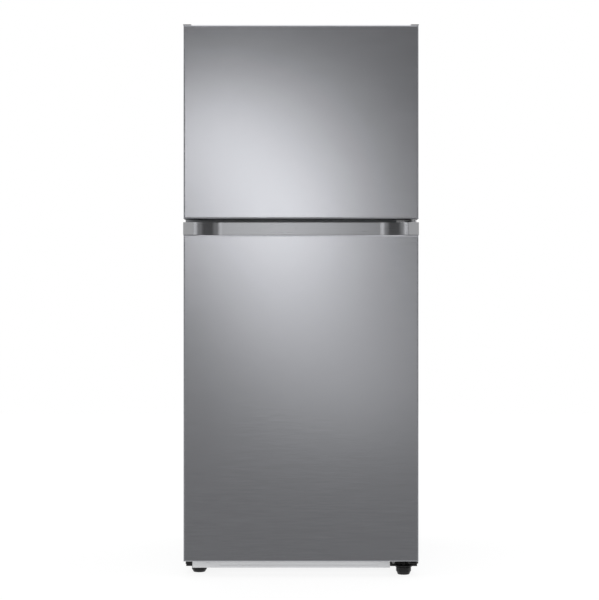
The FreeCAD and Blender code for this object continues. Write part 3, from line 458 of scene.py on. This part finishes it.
def slab(bm, x0, x1, y0, y1, z0, z1):
    corners = [(x, y, z) for x in (x0, x1) for y in (y0, y1) for z in (z0, z1)]
    v = [bm.verts.new(Vector(c) * MM) for c in corners]
    for ring in ((0, 1, 3, 2), (4, 6, 7, 5), (0, 4, 5, 1), (2, 3, 7, 6), (0, 2, 6, 4), (1, 5, 7, 3)):
        bm.faces.new([v[i] for i in ring])


def turned(bm, centre, axis, profile, steps=28):
    """Lathed shape: profile is (radius, height) from one end to the other; a radius of 0 is on the axis."""
    axis = Vector(axis).normalized()
    side = axis.orthogonal().normalized()
    other = axis.cross(side)
    angles = [2 * math.pi * k / steps for k in range(steps)]
    rings = []
    for radius, height in profile:
        middle = (Vector(centre) + axis * height) * MM
        if radius == 0:
            rings.append([bm.verts.new(middle)])
            continue
        spokes = [side * math.cos(t) + other * math.sin(t) for t in angles]
        rings.append([bm.verts.new(middle + spoke * radius * MM) for spoke in spokes])
    for a, b in zip(rings, rings[1:]):
        for k in range(steps):
            n = (k + 1) % steps
            if len(a) == 1:
                bm.faces.new((a[0], b[k], b[n]))
            elif len(b) == 1:
                bm.faces.new((a[k], b[0], a[n]))
            else:
                bm.faces.new((a[k], b[k], b[n], a[n]))


def rounded_loop(half, low, high, inset, radius, steps=5):
    """Points of a rounded rectangle in XZ, inset from the outer one."""
    points = []
    r = max(radius - inset, SMALLEST_CORNER)
    for sx, sz, start in ((1, 1, 0), (-1, 1, 90), (-1, -1, 180), (1, -1, 270)):
        cx = sx * (half - inset - r)
        cz = (high - inset - r) if sz > 0 else (low + inset + r)
        for k in range(steps + 1):
            t = math.radians(start + 90 * k / steps)
            points.append((cx + r * math.cos(t), cz + r * math.sin(t)))
    return points


def ring_bead(bm, half, low, high, profile, radius=8.0, centre_x=0):
    """Closed profile (inset, y) carried round a rounded rectangle in XZ."""
    loops = []
    for inset, y in profile:
        points = rounded_loop(half, low, high, inset, radius)
        loops.append([bm.verts.new(Vector((centre_x + x, y, z)) * MM) for x, z in points])
    for a, b in zip(loops, loops[1:] + loops[:1]):
        for k in range(len(a)):
            n = (k + 1) % len(a)
            bm.faces.new((a[k], a[n], b[n], b[k]))


def bar(bm, start, end, section, up):
    """Straight bar whose section is (across, up) points, from start to end."""
    start, end, up = Vector(start), Vector(end), Vector(up).normalized()
    across = (end - start).normalized().cross(up)
    rings = []
    for point in (start, end):
        rings.append([bm.verts.new((point + across * a + up * h) * MM) for a, h in section])
    count = len(section)
    for k in range(count):
        n = (k + 1) % count
        bm.faces.new((rings[0][k], rings[0][n], rings[1][n], rings[1][k]))
    bm.faces.new(rings[0][::-1])
    bm.faces.new(rings[1])


def level_bar(bm, x0, x1, y, z, section, outward):
    """Bar along X that stands out to the front (outward -1) or to the back (outward 1)."""
    bar(bm, (x0, y, z), (x1, y, z), section, (0, outward, 0))


def half_round(width, height, steps=8):
    angles = [math.pi * k / steps for k in range(steps + 1)]
    return [(width / 2 * math.cos(t), height * math.sin(t)) for t in angles]


def screw_head(bm, centre, axis, radius, height):
    """Pan head with a round recess."""
    profile = [(0, 0), (radius, 0), (radius, height * 0.45), (radius * 0.86, height * 0.85),
               (radius * 0.55, height), (radius * 0.3, height), (radius * 0.24, height * 0.5), (0, height * 0.5)]
    turned(bm, centre, axis, profile, 20)


# ------------------------------------------------------------ pieces on the doors
def door_gaskets():
    """Magnet bag on two bellows folds, in place of the plain gasket."""
    bellows = [(0.6, 0), (0.6, 1.5), (3.6, 2.3), (4.8, 3.6), (3.0, 4.9), (4.4, 6.2), (2.2, 7.2), (1.8, 8.4),
               (2.0, 10.6), (3.0, 11.5), (15.0, 11.5), (16.0, 10.6), (16.2, 8.4), (15.6, 7.2), (13.4, 6.2),
               (14.8, 4.9), (13.0, 3.6), (14.2, 2.3), (21.4, 1.5), (21.4, 0)]
    for door in ("freezer_door", "fridge_door"):
        low, high = mm_box(f"{door}_gasket")
        bm = bmesh.new()
        ring_bead(bm, high[0], low[2], high[2], [(u, min(low[1] + v, high[1])) for u, v in bellows])
        seal = finish_piece(f"{door}_seal", door, "gasket_rubber", bm)
        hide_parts(f"{door}_gasket")


def bin_strips():
    """Satin strip along the top rim of every door bin."""
    section = [(-3.4, 0), (-3.4, 0.5), (-2.6, 0.8), (2.6, 0.8), (3.4, 0.5), (3.4, 0)]
    below_rim = 4
    for door, rims in BIN_RIMS.items():
        face = mm_box(f"{door}_bins")[1][1]
        bm = bmesh.new()
        for z in rims:
            level_bar(bm, -BIN_STRIP_HALF, BIN_STRIP_HALF, face, z - below_rim, section, 1)
        finish_piece(f"{door}_bin_rails", door, "shelf_trim", bm, MATERIALS["satin_strip"])


def door_liner_beads():
    """Stiffening beads pressed into the inner face of each door."""
    for door, spans in DOOR_BEAD_SPANS.items():
        face = mm_box(f"{door}_gasket")[0][1]
        bm = bmesh.new()
        for x in DOOR_BEAD_COLUMNS:
            for low, high in spans:
                bar(bm, (x, face, low), (x, face, high), half_round(9, 1.2), (0, 1, 0))
        finish_piece(f"{door}_liner_beads", door, "liner_plastic", bm)


def hinge_bushings():
    """Flanged bushings that the doors turn on."""
    hinge = next(joint for joint in frame["joints"] if joint["name"] == "fridge_door_hinge")
    x, y = (v / MM for v in hinge["pos_m"][:2])
    bore, rim, radius = 4.3, 7.2, 7.8
    for number, (body, z, height) in enumerate(BUSHINGS):
        bm = bmesh.new()
        profile = [(bore, 0), (rim, 0), (radius, 0.4), (radius, height - 0.4), (rim, height), (bore, height),
                   (bore, 0)]
        turned(bm, (x, y, z), (0, 0, 1), profile)
        finish_piece(f"hinge_bushing_{number}", body, "shelf_trim", bm)


# ------------------------------------------------------------ pieces inside the cabinet
def shelf_strips():
    """Satin nose along the front of each shelf."""
    nose = [(-4.6, -0.2), (-4.6, 0.9), (-3.4, 1.6), (3.4, 1.6), (4.6, 0.9), (4.6, -0.2)]
    below_top = 6
    bm = bmesh.new()
    for node, tops in SHELF_TOPS.items():
        front = mm_box(node)[0][1]
        for top in tops:
            level_bar(bm, -SHELF_STRIP_HALF, SHELF_STRIP_HALF, front, top - below_top, nose, -1)
    finish_piece("shelf_rails", "cabinet", "shelf_trim", bm, MATERIALS["satin_strip"])


def crisper_beads():
    """Flat band under the rim of each drawer and three beads below it."""
    band = [(-4, 0), (-3.2, 0.9), (3.2, 0.9), (4, 0)]
    band_inset, bead_inset, below_rim = 24, 40, 7
    for side in ("left", "right"):
        low, high = mm_box(f"crisper_{side}")
        bm = bmesh.new()
        level_bar(bm, low[0] + band_inset, high[0] - band_inset, low[1], high[2] - below_rim, band, -1)
        for z in CRISPER_BEAD_LEVELS:
            level_bar(bm, low[0] + bead_inset, high[0] - bead_inset, low[1], z, half_round(3, 0.7), -1)
        finish_piece(f"crisper_{side}_beads", f"crisper_{side}_drawer", "clear_plastic", bm)


def duct_outlets():
    """Framed outlets with slats on the air duct, in front of a black slab of painted shade that stands in for the
    opening.
    """
    y = mm_box("air_duct")[0][1]
    frame_half, frame_rise = 44, 16
    hole_half, hole_rise = 40, 12
    slats, slat_step = 5, 4.5
    rim = [(0, y + 0.1), (0, y - 1.4), (1.2, y - 2.2), (3.2, y - 2.2), (4, y - 1.4), (4, y + 0.1)]
    frames, outlet_shade = bmesh.new(), bmesh.new()
    for z in DUCT_OUTLET_LEVELS:
        ring_bead(frames, frame_half, z - frame_rise, z + frame_rise, rim, 7.0)
        # Black slab behind the slats: painted shade of the outlet opening
        slab(outlet_shade, -hole_half, hole_half, y - 0.5, y + 0.1, z - hole_rise, z + hole_rise)
        for k in range(slats):
            level = z + slat_step * (k - (slats - 1) / 2)
            level_bar(frames, -hole_half, hole_half, y - 0.4, level, half_round(2.0, 1.5), -1)
    finish_piece("duct_outlets", "cabinet", "shelf_trim", frames)
    finish_piece("duct_outlet_shadows", "cabinet", "fan_plastic", outlet_shade, bevel=0.0001)


def lamp_ribs():
    """Ribs across the lens of both lamps."""
    fridge_lamp_level = mm_box("interior_lamps")[0][2]
    ribs = 12
    bm = bmesh.new()
    for z in (fridge_lamp_level, FREEZER_LAMP_LEVEL):
        for k in range(ribs):
            x = -LAMP_HALF + 2 * LAMP_HALF * k / (ribs - 1)
            bar(bm, (x, LAMP_FRONT, z + 0.1), (x, LAMP_BACK, z + 0.1), half_round(5, 1.3), (0, 0, -1))
    finish_piece("lamp_ribs", "cabinet", "lamp_lens", bm)


def panel_details():
    """Raised bezel round each button and a row of level lights beside it."""
    y = mm_box("control_panel")[0][1]
    rim = [(0, y + 0.1), (0, y - 0.6), (1.0, y - 0.9), (1.6, y - 0.6), (1.6, y + 0.1)]
    light = [(0, 0), (1.3, 0), (1.3, 0.5), (0.8, 0.8), (0, 0.9)]
    middle = (BUTTON_RIM_LOW + BUTTON_RIM_HIGH) / 2
    lights, first_light, light_step = 4, 22, 5.5
    bezels, dots = bmesh.new(), bmesh.new()
    for centre in BUTTON_CENTRES:
        for k in range(lights):
            x = centre + math.copysign(first_light + light_step * k, centre)
            turned(dots, (x, y + 0.1, middle), (0, -1, 0), light, 16)
        ring_bead(bezels, BUTTON_RIM_HALF, BUTTON_RIM_LOW, BUTTON_RIM_HIGH, rim, 3.0, centre)
    finish_piece("button_bezels", "cabinet", "shelf_trim", bezels, MATERIALS["satin_strip"])
    finish_piece("level_lights", "cabinet", "lamp_lens", dots)


# ------------------------------------------------------------ pieces outside the cabinet
def hinge_details():
    """Screws of the middle hinge, and black crosses on the lower bracket's screws that are painted shade of their
    cross recesses.
    """
    bm = bmesh.new()
    for place in MIDDLE_HINGE_SCREWS:
        screw_head(bm, place, (0, -1, 0), radius=2.8, height=1.3)
    finish_piece("middle_hinge_screws", "cabinet", "hinge_steel", bm)
    # Thin black crosses in front of the screw heads: painted shade of the cross recesses, not real hollows
    long_half, short_half = 1.7, 0.35
    front, back = -325.25, -324.8
    z = BRACKET_SCREW_LEVEL
    bm = bmesh.new()
    for x in BRACKET_SCREW_COLUMNS:
        for a, b in ((long_half, short_half), (short_half, long_half)):
            slab(bm, x - a, x + a, front, back, z - b, z + b)
    finish_piece("bracket_screw_recess_shade", "cabinet", "black_steel", bm, bevel=0.0001)


def back_details():
    """Hexagon screws on washers, pressed frames and foam-hole plugs of the rear panel."""
    y = mm_box("cabinet_back_panel")[1][1]
    outward = (0, 1, 0)
    washer = [(0, 0), (6.2, 0), (6.2, 0.7), (0, 0.7)]
    hexagon = [(0, 0), (4.1, 0), (4.1, 2.4), (3.4, 3.0), (0, 3.0)]
    spots = [(x, z) for z in BACK_SCREW_LEVELS for x in (-BACK_SCREW_COLUMN, BACK_SCREW_COLUMN)]
    edges = (BACK_SCREW_LEVELS[0], BACK_SCREW_LEVELS[-1])
    spots += [(x, z) for z in edges for x in BACK_EDGE_SCREW_COLUMNS]
    bm = bmesh.new()
    for x, z in spots:
        turned(bm, (x, y - 0.1, z), outward, washer, 24)
        turned(bm, (x, y + 0.5, z), outward, hexagon, 6)
    finish_piece("back_screws", "cabinet", "hinge_steel", bm, smooth=20)

    bead = [(0, -0.2), (0.6, 0.8), (2.0, 1.7), (4.0, 2.1), (6.0, 1.7), (7.4, 0.8), (8.0, -0.2)]
    bm = bmesh.new()
    for low, high in BACK_BEAD_SPANS:
        ring_bead(bm, BACK_BEAD_HALF, low, high, [(u, y + v) for u, v in bead], 30.0)
    finish_piece("back_beads", "cabinet", "galvanised_steel", bm)

    plug = [(0, 0), (2.9, 0), (2.9, 0.7), (8, 0.7), (8, 1.3), (6.4, 2.2), (0, 2.4)]
    bm = bmesh.new()
    for z in FOAM_HOLE_LEVELS:
        turned(bm, (0, y - 0.6, z), outward, plug)
    finish_piece("foam_hole_plugs", "cabinet", "foot_plastic", bm)


def compressor_seam():
    """Weld seam round the compressor's shell."""
    seam = [(78.2, -2), (79.6, -1.4), (80.2, 0), (79.6, 1.4), (78.2, 2), (76.5, 0), (78.2, -2)]
    bm = bmesh.new()
    turned(bm, COMPRESSOR_SEAM_CENTRE, (0, 0, 1), seam, 64)
    finish_piece("compressor_seam", "cabinet", "compressor_paint", bm)


dress_nodes()
door_gaskets()
bin_strips()
shelf_strips()
crisper_beads()
door_liner_beads()
hinge_bushings()
hinge_details()
back_details()
duct_outlets()
lamp_ribs()
panel_details()
compressor_seam()
studio()
